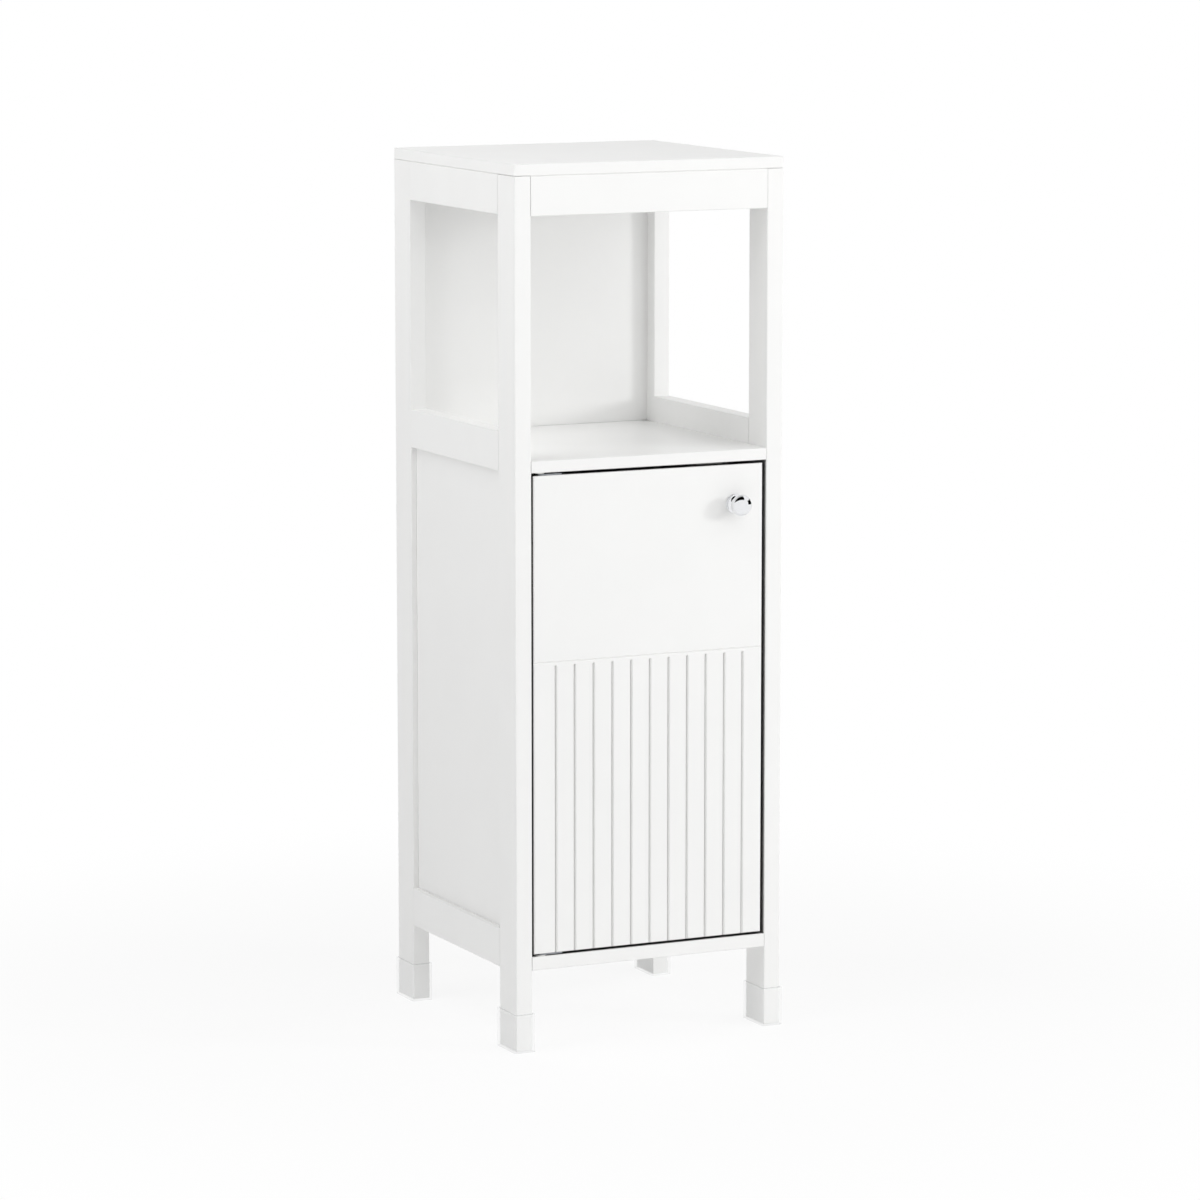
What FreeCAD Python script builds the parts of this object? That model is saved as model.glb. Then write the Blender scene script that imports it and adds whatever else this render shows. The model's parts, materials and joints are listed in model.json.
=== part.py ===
import FreeCAD
import Part
import math
import os

# A narrow free-standing cabinet of lacquered board: two frame-and-panel sides, a flush top,
# an open compartment above, and an inset grooved door on pivot hinges below.
# Millimetres. +X to the right, +Y to the back, +Z up, floor at z = 0.

# Overall size of the boards, without knob and foot caps
width = 300.0
depth = 300.0
height = 900.0

# Boards
frame_thickness = 18.0
post_depth = 40.0
rail_height = 40.0
front_rail_thickness = 18.0
top_thickness = 12.0
shelf_thickness = 12.0
bottom_thickness = 14.0
inner_shelf_thickness = 12.0
side_panel_thickness = 4.0
back_panel_thickness = 3.0
edge_easing = 0.6
top_easing = 0.8

# Levels
lower_rail_level = 82.0
bottom_panel_rise = 2.0
mid_rail_drop = 1.0
inner_shelf_level = 350.0

# Frame joinery: panels and rail tongues share one stopped groove in each post
panel_recess = 6.0
groove_depth = 8.0
groove_clearance = 0.1
groove_end_clearance = 0.5
tongue_shoulder = 5.0
blind_wall = 0.9

# Back panel
back_setback = 17.0
back_groove_depth = 6.0
top_groove_depth = 4.0
bottom_groove_depth = 5.0
bottom_panel_margin = 8.0

# Knock-down fittings
fitting_sides = 12
fit_clearance = 0.05
hole_end_clearance = 0.5
bolt_radius = 2.5
bolt_head_radius = 3.2
bolt_head_length = 4.0
bolt_head_clearance = 0.3
nut_radius = 6.0
nut_distance = 24.0
nut_bed = 3.6
nut_slot_length = 7.0
nut_slot_width = 1.5
dowel_radius = 3.0
dowel_length = 25.0
rear_dowel_inset = 8.5
front_rail_fitting_inset = 11.0
top_bolt_inset = 40.0

# Shelf pins
pin_radius = 2.5
pin_reach = 9.0
pin_inset = 8.0
pin_pitch = 64.0
pin_rows_each_way = 1
shelf_side_clearance = 1.4
shelf_back_clearance = 1.5
shelf_rest_clearance = 0.1

# Door
door_height = 488.0
door_thickness = 15.0
hinge_side_gap = 2.2
knob_side_gap = 4.2
door_edge_radius = 1.6
door_back_easing = 0.6
line_level = 298.5
line_width = 2.2
line_depth = 0.9
flute_pitch = 21.1
flute_width = 2.8
flute_depth = 2.6
first_flute_margin = 24.6
last_flute_margin = 20.0
flute_top_gap = 4.5

# Pivot hinges
pivot_inset = 9.0
pivot_setback = 6.5
leaf_thickness = 1.5
leaf_width = 10.0
leaf_length = 28.0
leaf_screw_offsets = (10.5, 18.5)
hinge_pin_radius = 2.5
bush_radius = 4.0
bush_flange_radius = 6.0
bush_flange_thickness = 0.8
bush_cover = 3.0
bush_end_clearance = 1.0
pivot_clearance = 0.05
door_rest_clearance = 0.2
door_lift_clearance = 0.7

# Knob
knob_inset = 32.0
knob_drop = 40.0
knob_base_radius = 9.8
knob_base_thickness = 1.4
knob_neck_radius = 5.2
knob_head_radius = 11.0
knob_rim_radius = 7.0
knob_rim_flat = 0.8
knob_rim_back = 1.0
knob_dome_radius = 20.0
knob_projection = 23.0
knob_sides = 48
knob_arc_steps = 5
knob_hole_depth = 10.0

# Magnetic catch and its strike plate
catch_nut_gap = 4.0
catch_length = 46.0
catch_ear_thickness = 3.0
catch_ear_width = 11.0
catch_ear_setback = 2.0
catch_ear_screw_inset = 4.0
catch_case_length = 31.0
catch_case_depth = 15.0
catch_case_height = 14.0
catch_axis_drop = 9.0
catch_case_wall = 2.3
magnet_thickness = 5.0
magnet_depth = 10.0
pole_thickness = 1.2
pole_reach = 0.8
strike_contact_gap = 0.2
strike_length = 38.0
strike_height = 11.0
strike_thickness = 1.2
strike_corner = 2.0

# Screws
screw_radius = 1.6
screw_head_radius = 3.0
screw_head_height = 1.8
leaf_screw_length = 16.0
catch_screw_length = 11.0
strike_screw_length = 10.0
knob_screw_radius = 2.0
knob_screw_head_radius = 4.0
knob_screw_head_height = 2.2
knob_screw_clearance = 0.2

# Foot caps
cap_height = 40.0
cap_wall = 2.3
cap_floor = 2.0
cap_clearance = 0.3
cap_corner_radius = 2.2
cap_bottom_easing = 0.7

# Worked-out places. The origin is the middle of the whole outline on the floor, knob and caps included.
cap_overhang = cap_clearance + cap_wall
front = knob_projection - (knob_projection + depth + cap_overhang) / 2
back = front + depth
left = -width / 2
inner_left = left + frame_thickness
inner_right = -inner_left
post_top = height - top_thickness
front_post_back = front + post_depth
rear_post_front = back - post_depth

panel_outer = left + panel_recess
panel_inner = panel_outer + side_panel_thickness
blind_depth = inner_left - panel_inner - groove_clearance - blind_wall

door_gap_below = bush_flange_thickness + door_rest_clearance + leaf_thickness
door_gap_above = leaf_thickness + door_lift_clearance + bush_flange_thickness
bottom_level = lower_rail_level + bottom_panel_rise
bottom_top = bottom_level + bottom_thickness
door_bottom = bottom_top + door_gap_below
door_top = door_bottom + door_height
shelf_level = door_top + door_gap_above
shelf_top = shelf_level + shelf_thickness
lower_rail_top = lower_rail_level + rail_height
mid_rail_level = shelf_level - mid_rail_drop
mid_rail_top = mid_rail_level + rail_height
top_rail_level = post_top - rail_height

back_panel_front = rear_post_front + back_setback
back_panel_back = back_panel_front + back_panel_thickness
bottom_back = back_panel_back + bottom_panel_margin

front_bolt_y = front + post_depth / 2
rear_dowel_y = rear_post_front + rear_dowel_inset
front_pin_y = front_post_back - pin_inset
rear_pin_y = rear_post_front + pin_inset
inner_shelf_front = front_pin_y - pin_inset

door_left = inner_left + hinge_side_gap
door_right = inner_right - knob_side_gap
door_back = front + door_thickness
pivot_x = door_left + pivot_inset
pivot_y = front + pivot_setback
bush_length = shelf_thickness - bush_cover
knob_x = door_right - knob_inset
knob_z = door_top - knob_drop
catch_x = inner_right - nut_distance - nut_radius - catch_nut_gap - catch_length / 2
catch_z = shelf_level - catch_axis_drop
strike_back = door_back + strike_thickness
pole_front = strike_back + strike_contact_gap
case_front = pole_front + pole_reach

x_axis = FreeCAD.Vector(1, 0, 0)
y_axis = FreeCAD.Vector(0, 1, 0)
z_axis = FreeCAD.Vector(0, 0, 1)
same_place = 0.001


def block(x0, x1, y0, y1, z0, z1):
    return Part.makeBox(x1 - x0, y1 - y0, z1 - z0, FreeCAD.Vector(x0, y0, z0))


def rod(point, direction, radius, length):
    return Part.makeCylinder(radius, length, point, direction)


def ring(point, direction, radius, sides):
    turn = FreeCAD.Rotation(z_axis, direction)
    corners = []
    for i in range(sides):
        spoke = FreeCAD.Rotation(z_axis, 360.0 * i / sides).multVec(x_axis * radius)
        corners.append(point + turn.multVec(spoke))
    return corners


def flat_face(corners):
    return Part.Face(Part.makePolygon(corners + corners[:1]))


# Small turned pieces and their holes have flat sides, which keeps the model light.
# The outline is a list of radius and distance along the direction; a last radius of 0 is a tip.
def turned(point, direction, outline, sides):
    rings = [ring(point + direction * along, direction, radius, sides) for radius, along in outline]
    pointed = outline[-1][0] == 0
    faces = [flat_face(rings[0])]
    for k in range(len(rings) - 1):
        tip_next = pointed and k == len(rings) - 2
        for i in range(sides):
            j = (i + 1) % sides
            upper = [rings[k + 1][i]] if tip_next else [rings[k + 1][j], rings[k + 1][i]]
            faces.append(flat_face([rings[k][i], rings[k][j]] + upper))
    if not pointed:
        faces.append(flat_face(rings[-1]))
    solid = Part.Solid(Part.Shell(faces))
    if solid.Volume < 0:
        solid.reverse()
    return solid.removeSplitter()


def prism(point, direction, radius, length):
    return turned(point, direction, [(radius, 0), (radius, length)], fitting_sides)


def mirrored(shape):
    return shape.mirror(FreeCAD.Vector(0, 0, 0), x_axis)


def edges_along(shape, axis):
    found = []
    for edge in shape.Edges:
        run = edge.Vertexes[-1].Point - edge.Vertexes[0].Point
        if run.Length > 0 and abs(run.normalize().dot(axis)) > 0.999:
            found.append(edge)
    return found


def level_edges(shape, z):
    return [edge for edge in shape.Edges if all(abs(v.Z - z) < same_place for v in edge.Vertexes)]


def depth_edges(shape, y):
    return [edge for edge in shape.Edges if all(abs(v.Y - y) < same_place for v in edge.Vertexes)]


def rounded_along(shape, axis, radius):
    return shape.makeFillet(radius, edges_along(shape, axis))


def eased_along(shape, axis, easing):
    return shape.makeChamfer(easing, edges_along(shape, axis))


def cut_all(shape, tools):
    for tool in tools:
        shape = shape.cut(tool)
    return shape


# Cam bolts, cam nuts and dowels

def cam_bolt(joint, direction):
    head_start = nut_distance - bolt_head_length / 2
    outline = [
        (bolt_radius, -blind_depth),
        (bolt_radius, head_start),
        (bolt_head_radius, head_start),
        (bolt_head_radius, head_start + bolt_head_length),
    ]
    return turned(joint, direction, outline, fitting_sides)


def cam_bolt_thread_hole(joint, direction):
    depth_in = blind_depth + hole_end_clearance
    return prism(joint, direction * -1, bolt_radius + fit_clearance, depth_in)


def cam_bolt_board_hole(joint, direction):
    return prism(joint, direction, bolt_head_radius + bolt_head_clearance, nut_distance)


def nut_depth(board_thickness):
    return board_thickness / 2 + nut_bed


# The nut's face lies flush with the board at the point given, its axis runs into the board,
# and its pocket opens towards the joint that the bolt comes from.
def cam_nut(face_point, axis, bolt_direction, board_thickness):
    body_depth = nut_depth(board_thickness)
    pocket_half = bolt_head_radius + bolt_head_clearance
    pocket_end = bolt_head_length / 2 + bolt_head_clearance
    middle = board_thickness / 2
    nut = prism(FreeCAD.Vector(0, 0, 0), z_axis, nut_radius, body_depth)
    pocket = block(-nut_radius, pocket_end, -pocket_half, pocket_half, middle - pocket_half, body_depth)
    slot_half = nut_slot_length / 2
    slot = block(-slot_half, slot_half, -nut_slot_width / 2, nut_slot_width / 2, 0, nut_slot_width)
    nut = cut_all(nut, [pocket, slot])
    turn = FreeCAD.Rotation(bolt_direction, axis.cross(bolt_direction), axis, "XZY")
    nut.Placement = FreeCAD.Placement(face_point, turn)
    return nut


def cam_nut_hole(face_point, axis, board_thickness):
    return prism(face_point, axis, nut_radius + fit_clearance, nut_depth(board_thickness) + fit_clearance)


def dowel(joint, direction):
    return prism(joint - direction * blind_depth, direction, dowel_radius, dowel_length)


def dowel_post_hole(joint, direction):
    depth_in = blind_depth + hole_end_clearance
    return prism(joint, direction * -1, dowel_radius + fit_clearance, depth_in)


def dowel_board_hole(joint, direction):
    depth_in = dowel_length - blind_depth + hole_end_clearance
    return prism(joint, direction, dowel_radius + fit_clearance, depth_in)


# Joints of the left side; the right side mirrors them
shelf_joint = FreeCAD.Vector(inner_left, front_bolt_y, shelf_level + shelf_thickness / 2)
bottom_joint = FreeCAD.Vector(inner_left, front_bolt_y, bottom_level + bottom_thickness / 2)
front_rail_y = front + front_rail_thickness / 2
front_rail_bolt_z = top_rail_level + front_rail_fitting_inset
front_rail_dowel_z = post_top - front_rail_fitting_inset
front_rail_joint = FreeCAD.Vector(inner_left, front_rail_y, front_rail_bolt_z)
rear_dowel_joints = [
    FreeCAD.Vector(inner_left, rear_dowel_y, shelf_level + shelf_thickness / 2),
    FreeCAD.Vector(inner_left, rear_dowel_y, bottom_level + bottom_thickness / 2),
]
front_rail_dowel_joint = FreeCAD.Vector(inner_left, front_rail_y, front_rail_dowel_z)
top_joint_x = left + frame_thickness / 2
top_joints = [
    FreeCAD.Vector(top_joint_x, front_post_back + top_bolt_inset, post_top),
    FreeCAD.Vector(top_joint_x, rear_post_front - top_bolt_inset, post_top),
]
inner_shelf_pin_z = inner_shelf_level - shelf_rest_clearance - pin_radius


# Side frames

def pin_points(y):
    points = []
    for row in range(-pin_rows_each_way, pin_rows_each_way + 1):
        points.append(FreeCAD.Vector(inner_left, y, inner_shelf_pin_z + row * pin_pitch))
    return points


def post_groove(y0, y1, z0, z1):
    return block(
        panel_outer - groove_clearance,
        panel_inner + groove_clearance,
        y0,
        y1,
        z0 - groove_clearance,
        z1 + groove_clearance,
    )


def post(y0, groove_y0, groove_y1, pin_y):
    board = block(left, inner_left, y0, y0 + post_depth, cap_floor, post_top)
    board = eased_along(board, z_axis, edge_easing)
    lower_groove = post_groove(
        groove_y0, groove_y1, lower_rail_level + tongue_shoulder, mid_rail_top - tongue_shoulder
    )
    upper_groove = post_groove(
        groove_y0, groove_y1, top_rail_level + tongue_shoulder, post_top - tongue_shoulder
    )
    pin_holes = []
    for point in pin_points(pin_y):
        depth_in = blind_depth + hole_end_clearance
        pin_holes.append(prism(point, x_axis * -1, pin_radius + fit_clearance, depth_in))
    return cut_all(board, [lower_groove, upper_groove] + pin_holes)


def front_post():
    board = post(front, front_post_back - groove_depth, front_post_back, front_pin_y)
    holes = []
    for joint in (shelf_joint, bottom_joint, front_rail_joint):
        holes.append(cam_bolt_thread_hole(joint, x_axis))
    holes.append(dowel_post_hole(front_rail_dowel_joint, x_axis))
    return cut_all(board, holes)


def rear_post():
    board = post(rear_post_front, rear_post_front, rear_post_front + groove_depth, rear_pin_y)
    back_groove = block(
        inner_left - back_groove_depth,
        inner_left,
        back_panel_front - groove_clearance,
        back_panel_back + groove_clearance,
        bottom_top - bottom_groove_depth,
        post_top,
    )
    holes = [back_groove]
    for joint in rear_dowel_joints:
        holes.append(dowel_post_hole(joint, x_axis))
    return cut_all(board, holes)


# A side rail with a stub tongue at each end, from tongue_z0 to tongue_z1
def side_rail(z0, tongue_z0, tongue_z1):
    board = block(left, inner_left, front_post_back, rear_post_front, z0, z0 + rail_height)
    board = eased_along(board, y_axis, edge_easing)
    tongue_reach = groove_depth - groove_end_clearance
    tongue = block(
        panel_outer,
        panel_inner,
        front_post_back - tongue_reach,
        rear_post_front + tongue_reach,
        tongue_z0,
        tongue_z1,
    )
    return board.fuse(tongue).removeSplitter()


def rail_groove(z0, z1):
    return block(
        panel_outer - groove_clearance,
        panel_inner + groove_clearance,
        front_post_back - groove_depth,
        rear_post_front + groove_depth,
        z0,
        z1,
    )


def lower_rail():
    groove_floor = lower_rail_top - groove_depth
    board = side_rail(lower_rail_level, lower_rail_level + tongue_shoulder, groove_floor)
    return board.cut(rail_groove(groove_floor, lower_rail_top))


def mid_rail():
    groove_floor = mid_rail_level + groove_depth
    board = side_rail(mid_rail_level, groove_floor, mid_rail_top - tongue_shoulder)
    return board.cut(rail_groove(mid_rail_level, groove_floor))


def top_nut_point(joint):
    return FreeCAD.Vector(inner_left, joint.y, post_top - nut_distance)


def top_rail():
    board = side_rail(top_rail_level, top_rail_level + tongue_shoulder, post_top - tongue_shoulder)
    holes = []
    for joint in top_joints:
        holes.append(cam_bolt_board_hole(joint, z_axis * -1))
        holes.append(cam_nut_hole(top_nut_point(joint), x_axis * -1, frame_thickness))
    return cut_all(board, holes)


def side_panel():
    reach = groove_depth - groove_end_clearance
    return block(
        panel_outer,
        panel_inner,
        front_post_back - reach,
        rear_post_front + reach,
        lower_rail_top - reach,
        mid_rail_level + reach,
    )


# Boards between the two sides

def top_panel():
    board = block(left, -left, front, back, post_top, height)
    board = board.makeChamfer(top_easing, board.Edges)
    groove_x = inner_left - back_groove_depth
    back_groove = block(
        groove_x,
        -groove_x,
        back_panel_front - groove_clearance,
        back_panel_back + groove_clearance,
        post_top,
        post_top + top_groove_depth,
    )
    holes = [back_groove]
    for joint in top_joints:
        hole = cam_bolt_thread_hole(joint, z_axis * -1)
        holes += [hole, mirrored(hole)]
    return cut_all(board, holes)


def front_rail_nut_point():
    return FreeCAD.Vector(inner_left + nut_distance, front + front_rail_thickness, front_rail_bolt_z)


def top_rail_front():
    board = block(inner_left, inner_right, front, front + front_rail_thickness, top_rail_level, post_top)
    board = eased_along(board, x_axis, edge_easing)
    holes = [
        cam_bolt_board_hole(front_rail_joint, x_axis),
        cam_nut_hole(front_rail_nut_point(), y_axis * -1, front_rail_thickness),
        dowel_board_hole(front_rail_dowel_joint, x_axis),
    ]
    for hole in list(holes):
        holes.append(mirrored(hole))
    return cut_all(board, holes)


# The underside point of the cam nut that belongs to a shelf or bottom joint
def board_nut_point(joint, level):
    return FreeCAD.Vector(joint.x + nut_distance, joint.y, level)


def board_fitting_holes(joint, dowel_joint, level, thickness):
    holes = [
        cam_bolt_board_hole(joint, x_axis),
        cam_nut_hole(board_nut_point(joint, level), z_axis, thickness),
        dowel_board_hole(dowel_joint, x_axis),
    ]
    for hole in list(holes):
        holes.append(mirrored(hole))
    return holes


def bush_hole(z, direction):
    point = FreeCAD.Vector(pivot_x, pivot_y, z)
    return prism(point, direction, bush_radius + fit_clearance, bush_length + fit_clearance)


def open_shelf():
    board = block(inner_left, inner_right, front, back_panel_front, shelf_level, shelf_top)
    board = eased_along(board, x_axis, edge_easing)
    holes = board_fitting_holes(shelf_joint, rear_dowel_joints[0], shelf_level, shelf_thickness)
    holes.append(bush_hole(shelf_level, z_axis))
    shank = catch_screw_length - catch_ear_thickness + hole_end_clearance
    for point in catch_screw_points():
        start = FreeCAD.Vector(point.x, point.y, shelf_level)
        holes.append(prism(start, z_axis, screw_radius + fit_clearance, shank))
    return cut_all(board, holes)


def bottom_panel():
    board = block(inner_left, inner_right, front, bottom_back, bottom_level, bottom_top)
    board = eased_along(board, x_axis, edge_easing)
    holes = board_fitting_holes(bottom_joint, rear_dowel_joints[1], bottom_level, bottom_thickness)
    holes.append(bush_hole(bottom_top, z_axis * -1))
    holes.append(
        block(
            inner_left,
            inner_right,
            back_panel_front - groove_clearance,
            back_panel_back + groove_clearance,
            bottom_top - bottom_groove_depth,
            bottom_top,
        )
    )
    return cut_all(board, holes)


def back_panel():
    panel_x = inner_left - back_groove_depth + groove_end_clearance
    z0 = bottom_top - bottom_groove_depth + groove_clearance
    z1 = post_top + top_groove_depth - groove_end_clearance
    return block(panel_x, -panel_x, back_panel_front, back_panel_back, z0, z1)


def inner_shelf():
    board = block(
        inner_left + shelf_side_clearance,
        inner_right - shelf_side_clearance,
        inner_shelf_front,
        back_panel_front - shelf_back_clearance,
        inner_shelf_level,
        inner_shelf_level + inner_shelf_thickness,
    )
    return eased_along(board, x_axis, edge_easing)


def shelf_pin(y):
    seat = FreeCAD.Vector(inner_left, y, inner_shelf_pin_z)
    return prism(seat - x_axis * blind_depth, x_axis, pin_radius, blind_depth + pin_reach)


# Fitting groups, one solid each

def both_sides(shapes):
    return Part.makeCompound(shapes + [mirrored(shape) for shape in shapes])


def cam_bolts():
    bolts = []
    for joint in (shelf_joint, bottom_joint, front_rail_joint):
        bolts.append(cam_bolt(joint, x_axis))
    for joint in top_joints:
        bolts.append(cam_bolt(joint, z_axis * -1))
    return both_sides(bolts)


def cam_nuts_boards():
    return both_sides(
        [
            cam_nut(board_nut_point(shelf_joint, shelf_level), z_axis, x_axis, shelf_thickness),
            cam_nut(board_nut_point(bottom_joint, bottom_level), z_axis, x_axis, bottom_thickness),
        ]
    )


def cam_nuts_rails():
    nuts = [cam_nut(front_rail_nut_point(), y_axis * -1, x_axis, front_rail_thickness)]
    for joint in top_joints:
        nuts.append(cam_nut(top_nut_point(joint), x_axis * -1, z_axis * -1, frame_thickness))
    return both_sides(nuts)


def dowels():
    return both_sides([dowel(joint, x_axis) for joint in rear_dowel_joints + [front_rail_dowel_joint]])


def shelf_pins():
    return both_sides([shelf_pin(front_pin_y), shelf_pin(rear_pin_y)])


# Door

# The V tool reaches as far out of the face as the groove is deep, so its flanks keep their slope.
def v_profile(centre, across, face_y, v_width, v_depth):
    outer = FreeCAD.Vector(centre.x, face_y - v_depth, centre.z)
    deep = FreeCAD.Vector(centre.x, face_y + v_depth, centre.z)
    return flat_face([outer + across * v_width, deep, outer - across * v_width])


def flute(x):
    start = FreeCAD.Vector(x, 0, door_bottom)
    top = door_bottom + line_level - flute_top_gap
    run = v_profile(start, x_axis, front, flute_width, flute_depth).extrude(z_axis * (top - door_bottom))
    end_point = FreeCAD.Vector(x, front - flute_depth, top)
    end = turned(end_point, y_axis, [(flute_width, 0), (0, 2 * flute_depth)], fitting_sides)
    return run.fuse(end)


def cross_line():
    start = FreeCAD.Vector(door_left, 0, door_bottom + line_level)
    return v_profile(start, z_axis, front, line_width, line_depth).extrude(x_axis * (door_right - door_left))


# The flutes start from the hinge side, as many as keep the last margin on the knob side
def flute_places():
    first = door_left + first_flute_margin
    room = door_right - last_flute_margin - first
    return [first + i * flute_pitch for i in range(int(room / flute_pitch) + 1)]


def leaf_screw_point(offset, z):
    return FreeCAD.Vector(pivot_x + offset, pivot_y, z)


def knob_screw_hole():
    point = FreeCAD.Vector(knob_x, front, knob_z)
    return prism(point, y_axis, knob_screw_radius + knob_screw_clearance, door_thickness)


def door_panel():
    board = block(door_left, door_right, front, door_back, door_bottom, door_top)
    board = board.makeFillet(door_edge_radius, depth_edges(board, front))
    board = board.makeChamfer(door_back_easing, depth_edges(board, door_back))
    tools = [flute(x) for x in flute_places()] + [cross_line(), knob_screw_hole()]
    shank_depth = leaf_screw_length - leaf_thickness + hole_end_clearance
    for offset in leaf_screw_offsets:
        for z, way in ((door_top, z_axis * -1), (door_bottom, z_axis)):
            tools.append(prism(leaf_screw_point(offset, z), way, screw_radius + fit_clearance, shank_depth))
    strike_depth = strike_screw_length - strike_thickness + hole_end_clearance
    strike_point = FreeCAD.Vector(catch_x, door_back, catch_z)
    tools.append(prism(strike_point, y_axis * -1, screw_radius + fit_clearance, strike_depth))
    return cut_all(board, tools)


# A round-ended plate lying on the door's edge, countersunk from its outer side
def hinge_leaf(z0, outer_z, way_out):
    half = leaf_width / 2
    end_x = pivot_x - half + leaf_length
    near = FreeCAD.Vector(pivot_x, pivot_y - half, z0)
    far = FreeCAD.Vector(pivot_x, pivot_y + half, z0)
    tip = FreeCAD.Vector(pivot_x - half, pivot_y, z0)
    near_end = FreeCAD.Vector(end_x, pivot_y - half, z0)
    far_end = FreeCAD.Vector(end_x, pivot_y + half, z0)
    outline = Part.Wire(
        [
            Part.LineSegment(near_end, near).toShape(),
            Part.Arc(near, tip, far).toShape(),
            Part.LineSegment(far, far_end).toShape(),
            Part.LineSegment(far_end, near_end).toShape(),
        ]
    )
    plate = Part.Face(outline).extrude(z_axis * leaf_thickness)
    pin_point = FreeCAD.Vector(pivot_x, pivot_y, z0)
    plate = plate.cut(rod(pin_point, z_axis, hinge_pin_radius + fit_clearance, leaf_thickness))
    for offset in leaf_screw_offsets:
        point = leaf_screw_point(offset, outer_z)
        plate = plate.cut(countersunk_hole(point, way_out * -1, leaf_thickness))
    return plate


# A countersunk screw enters at the point, flush, and runs along its direction.
def countersunk_screw(point, direction, length, head_depth):
    outline = [(screw_head_radius, 0), (screw_radius, head_depth), (screw_radius, length)]
    return turned(point, direction, outline, fitting_sides)


def countersunk_hole(point, direction, plate_thickness):
    outline = [(screw_head_radius + fit_clearance, 0), (screw_radius + fit_clearance, plate_thickness)]
    return turned(point, direction, outline, fitting_sides)


# A pan-head screw: its head lies under the point, its shank runs along the direction.
def pan_screw(point, direction, length, radius, head_radius, head_height):
    outline = [(head_radius, -head_height), (head_radius, 0), (radius, 0), (radius, length)]
    return turned(point, direction, outline, fitting_sides)


leaf_top_outer = door_top + leaf_thickness
leaf_bottom_outer = door_bottom - leaf_thickness


def hinge_pin(inner_z, seat_z, direction):
    reach = abs(seat_z - inner_z) + bush_length - bush_end_clearance
    return rod(FreeCAD.Vector(pivot_x, pivot_y, inner_z), direction, hinge_pin_radius, reach)


def hinge_bush(seat_z, into_board):
    seat = FreeCAD.Vector(pivot_x, pivot_y, seat_z)
    outline = [
        (bush_flange_radius, -bush_flange_thickness),
        (bush_flange_radius, 0),
        (bush_radius, 0),
        (bush_radius, bush_length),
    ]
    bore_start = seat - into_board * bush_flange_thickness
    bore_length = bush_flange_thickness + bush_length - bush_end_clearance / 2
    bore = rod(bore_start, into_board, hinge_pin_radius + pivot_clearance, bore_length)
    return turned(seat, into_board, outline, fitting_sides).cut(bore)


def hinge_screws():
    screws = []
    for offset in leaf_screw_offsets:
        upper = leaf_screw_point(offset, leaf_top_outer)
        lower = leaf_screw_point(offset, leaf_bottom_outer)
        screws.append(countersunk_screw(upper, z_axis * -1, leaf_screw_length, leaf_thickness))
        screws.append(countersunk_screw(lower, z_axis, leaf_screw_length, leaf_thickness))
    return Part.makeCompound(screws)


def arc_points(centre_radius, centre_along, arc_radius, start_angle, end_angle):
    points = []
    for i in range(knob_arc_steps + 1):
        angle = math.radians(start_angle + (end_angle - start_angle) * i / knob_arc_steps)
        radius = centre_radius + arc_radius * math.cos(angle)
        points.append((radius, centre_along + arc_radius * math.sin(angle)))
    return points


# A mushroom knob: a base disc, a neck that flares out, a rounded rim that runs smoothly into the domed face.
def knob():
    dome_centre = knob_projection - knob_dome_radius
    rim_x = knob_head_radius - knob_rim_radius
    rim_rise = math.sqrt((knob_dome_radius - knob_rim_radius) ** 2 - rim_x ** 2)
    rim_centre = dome_centre + rim_rise
    blend_angle = math.degrees(math.atan2(rim_rise, rim_x))
    flare_radius = knob_head_radius - knob_rim_back - knob_neck_radius
    flare_x = knob_neck_radius + flare_radius
    flare_centre = rim_centre - knob_rim_flat - knob_rim_back - flare_radius
    neck_foot = knob_base_thickness + knob_base_radius - knob_neck_radius
    dome = arc_points(0, dome_centre, knob_dome_radius, blend_angle, 90)
    outline = [(knob_base_radius, 0), (knob_base_radius, knob_base_thickness), (knob_neck_radius, neck_foot)]
    outline += arc_points(flare_x, flare_centre, flare_radius, 180, 90)
    outline += [(knob_head_radius, rim_centre - knob_rim_flat)]
    outline += arc_points(rim_x, rim_centre, knob_rim_radius, 0, blend_angle)
    outline += dome[1:-1] + [(0, knob_projection)]
    seat = FreeCAD.Vector(knob_x, front, knob_z)
    body = turned(seat, y_axis * -1, outline, knob_sides)
    return body.cut(prism(seat, y_axis * -1, knob_screw_radius + fit_clearance, knob_hole_depth))


def knob_screw():
    length = door_thickness + knob_hole_depth - hole_end_clearance
    point = FreeCAD.Vector(knob_x, door_back, knob_z)
    return pan_screw(
        point, y_axis * -1, length, knob_screw_radius, knob_screw_head_radius, knob_screw_head_height
    )


# Magnetic catch under the open shelf

def catch_screw_points():
    y = case_front + catch_ear_setback + catch_ear_width / 2
    z = shelf_level - catch_ear_thickness
    reach = catch_length / 2 - catch_ear_screw_inset
    return [FreeCAD.Vector(catch_x - reach, y, z), FreeCAD.Vector(catch_x + reach, y, z)]


magnet_half = catch_case_length / 2 - catch_case_wall
stack_half = magnet_thickness / 2 + pole_thickness


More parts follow.
